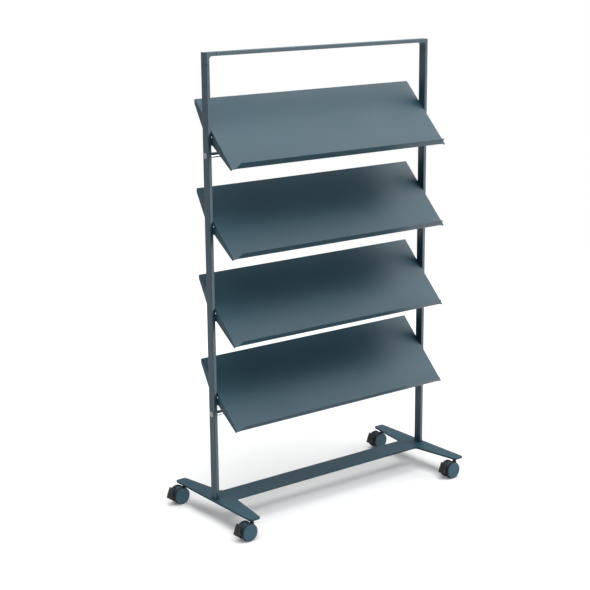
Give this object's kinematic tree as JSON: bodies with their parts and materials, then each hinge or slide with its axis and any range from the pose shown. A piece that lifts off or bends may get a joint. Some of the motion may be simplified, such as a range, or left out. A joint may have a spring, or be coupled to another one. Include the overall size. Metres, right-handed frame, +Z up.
{
  "type": "mobile periodical display rack",
  "caption": "Goalpost frame of rectangular tube on an H-shaped steel base with braked twin-wheel castors, carrying sloping folded sheet shelves with front lips for periodicals.",
  "frame": {"origin": "centre of the base plate's top face, midway between the posts", "axes": "+X to the right along the shelves, +Y to the back, +Z up; the floor is 81.6 mm below the origin"},
  "size_m": [1.0684, 0.487, 1.6816],
  "materials": {
    "powder_coat": "satin fine-texture powder coat, blue grey",
    "castor_plastic": "satin moulded plastic, blue grey",
    "lever_plastic": "matte moulded plastic, dark grey",
    "tread_rubber": "matte soft tread, near black",
    "polished_rod": "bright polished",
    "zinc_steel": "zinc plated",
    "black_steel": "black, slightly glossy"
  },
  "bodies": {
    "frame": {"base_plate": "powder_coat", "left_post": "powder_coat", "right_post": "powder_coat", "left_post_block": "zinc_steel", "right_post_block": "zinc_steel", "post_screws": "zinc_steel", "left_corner_fitting": "powder_coat", "right_corner_fitting": "powder_coat", "top_bar": "powder_coat", "upper_tie_rod": "polished_rod", "lower_tie_rod": "polished_rod", "tie_rod_bolts": "zinc_steel", "shelf_1": "powder_coat", "shelf_2": "powder_coat", "shelf_3": "powder_coat", "shelf_4": "powder_coat", "shelf_screws": "zinc_steel", "shelf_inserts": "zinc_steel", "castor_front_left_stem": "black_steel", "castor_front_right_stem": "black_steel", "castor_rear_left_stem": "black_steel", "castor_rear_right_stem": "black_steel"},
    "castor_front_left_swivel": {"castor_front_left_housing": "castor_plastic", "castor_front_left_axle": "zinc_steel", "castor_front_left_lever_pin": "zinc_steel"},
    "castor_front_left_front_wheel": {"castor_front_left_front_hub": "castor_plastic", "castor_front_left_front_tyre": "tread_rubber"},
    "castor_front_left_rear_wheel": {"castor_front_left_rear_hub": "castor_plastic", "castor_front_left_rear_tyre": "tread_rubber"},
    "castor_front_left_lever": {"castor_front_left_brake_lever": "lever_plastic"},
    "castor_front_right_swivel": {"castor_front_right_housing": "castor_plastic", "castor_front_right_axle": "zinc_steel", "castor_front_right_lever_pin": "zinc_steel"},
    "castor_front_right_front_wheel": {"castor_front_right_front_hub": "castor_plastic", "castor_front_right_front_tyre": "tread_rubber"},
    "castor_front_right_rear_wheel": {"castor_front_right_rear_hub": "castor_plastic", "castor_front_right_rear_tyre": "tread_rubber"},
    "castor_front_right_lever": {"castor_front_right_brake_lever": "lever_plastic"},
    "castor_rear_left_swivel": {"castor_rear_left_housing": "castor_plastic", "castor_rear_left_axle": "zinc_steel", "castor_rear_left_lever_pin": "zinc_steel"},
    "castor_rear_left_front_wheel": {"castor_rear_left_front_hub": "castor_plastic", "castor_rear_left_front_tyre": "tread_rubber"},
    "castor_rear_left_rear_wheel": {"castor_rear_left_rear_hub": "castor_plastic", "castor_rear_left_rear_tyre": "tread_rubber"},
    "castor_rear_left_lever": {"castor_rear_left_brake_lever": "lever_plastic"},
    "castor_rear_right_swivel": {"castor_rear_right_housing": "castor_plastic", "castor_rear_right_axle": "zinc_steel", "castor_rear_right_lever_pin": "zinc_steel"},
    "castor_rear_right_front_wheel": {"castor_rear_right_front_hub": "castor_plastic", "castor_rear_right_front_tyre": "tread_rubber"},
    "castor_rear_right_rear_wheel": {"castor_rear_right_rear_hub": "castor_plastic", "castor_rear_right_rear_tyre": "tread_rubber"},
    "castor_rear_right_lever": {"castor_rear_right_brake_lever": "lever_plastic"}
  },
  "joints": [
    {"name": "castor_front_left_swivel_turn", "type": "hinge", "parent": "frame", "child": "castor_front_left_swivel", "pos_m": [-0.4865, -0.218, -0.0191], "axis": [0, 0, 1], "continuous": true},
    {"name": "castor_front_left_front_wheel_roll", "type": "hinge", "parent": "castor_front_left_swivel", "child": "castor_front_left_front_wheel", "pos_m": [-0.5099, -0.234, -0.0491], "axis": [0, 1, 0], "continuous": true},
    {"name": "castor_front_left_rear_wheel_roll", "type": "hinge", "parent": "castor_front_left_swivel", "child": "castor_front_left_rear_wheel", "pos_m": [-0.5099, -0.202, -0.0491], "axis": [0, 1, 0], "continuous": true},
    {"name": "castor_front_left_brake_tip", "type": "hinge", "parent": "castor_front_left_swivel", "child": "castor_front_left_lever", "pos_m": [-0.5259, -0.218, -0.0311], "axis": [0, -1, 0], "range_deg": [0, 12]},
    {"name": "castor_front_right_swivel_turn", "type": "hinge", "parent": "frame", "child": "castor_front_right_swivel", "pos_m": [0.4865, -0.218, -0.0191], "axis": [0, 0, 1], "continuous": true},
    {"name": "castor_front_right_front_wheel_roll", "type": "hinge", "parent": "castor_front_right_swivel", "child": "castor_front_right_front_wheel", "pos_m": [0.4631, -0.234, -0.0491], "axis": [0, 1, 0], "continuous": true},
    {"name": "castor_front_right_rear_wheel_roll", "type": "hinge", "parent": "castor_front_right_swivel", "child": "castor_front_right_rear_wheel", "pos_m": [0.4631, -0.202, -0.0491], "axis": [0, 1, 0], "continuous": true},
    {"name": "castor_front_right_brake_tip", "type": "hinge", "parent": "castor_front_right_swivel", "child": "castor_front_right_lever", "pos_m": [0.4471, -0.218, -0.0311], "axis": [0, -1, 0], "range_deg": [0, 12]},
    {"name": "castor_rear_left_swivel_turn", "type": "hinge", "parent": "frame", "child": "castor_rear_left_swivel", "pos_m": [-0.4865, 0.218, -0.0191], "axis": [0, 0, 1], "continuous": true},
    {"name": "castor_rear_left_front_wheel_roll", "type": "hinge", "parent": "castor_rear_left_swivel", "child": "castor_rear_left_front_wheel", "pos_m": [-0.5099, 0.202, -0.0491], "axis": [0, 1, 0], "continuous": true},
    {"name": "castor_rear_left_rear_wheel_roll", "type": "hinge", "parent": "castor_rear_left_swivel", "child": "castor_rear_left_rear_wheel", "pos_m": [-0.5099, 0.234, -0.0491], "axis": [0, 1, 0], "continuous": true},
    {"name": "castor_rear_left_brake_tip", "type": "hinge", "parent": "castor_rear_left_swivel", "child": "castor_rear_left_lever", "pos_m": [-0.5259, 0.218, -0.0311], "axis": [0, -1, 0], "range_deg": [0, 12]},
    {"name": "castor_rear_right_swivel_turn", "type": "hinge", "parent": "frame", "child": "castor_rear_right_swivel", "pos_m": [0.4865, 0.218, -0.0191], "axis": [0, 0, 1], "continuous": true},
    {"name": "castor_rear_right_front_wheel_roll", "type": "hinge", "parent": "castor_rear_right_swivel", "child": "castor_rear_right_front_wheel", "pos_m": [0.4631, 0.202, -0.0491], "axis": [0, 1, 0], "continuous": true},
    {"name": "castor_rear_right_rear_wheel_roll", "type": "hinge", "parent": "castor_rear_right_swivel", "child": "castor_rear_right_rear_wheel", "pos_m": [0.4631, 0.234, -0.0491], "axis": [0, 1, 0], "continuous": true},
    {"name": "castor_rear_right_brake_tip", "type": "hinge", "parent": "castor_rear_right_swivel", "child": "castor_rear_right_lever", "pos_m": [0.4471, 0.218, -0.0311], "axis": [0, -1, 0], "range_deg": [0, 12]}
  ]
}
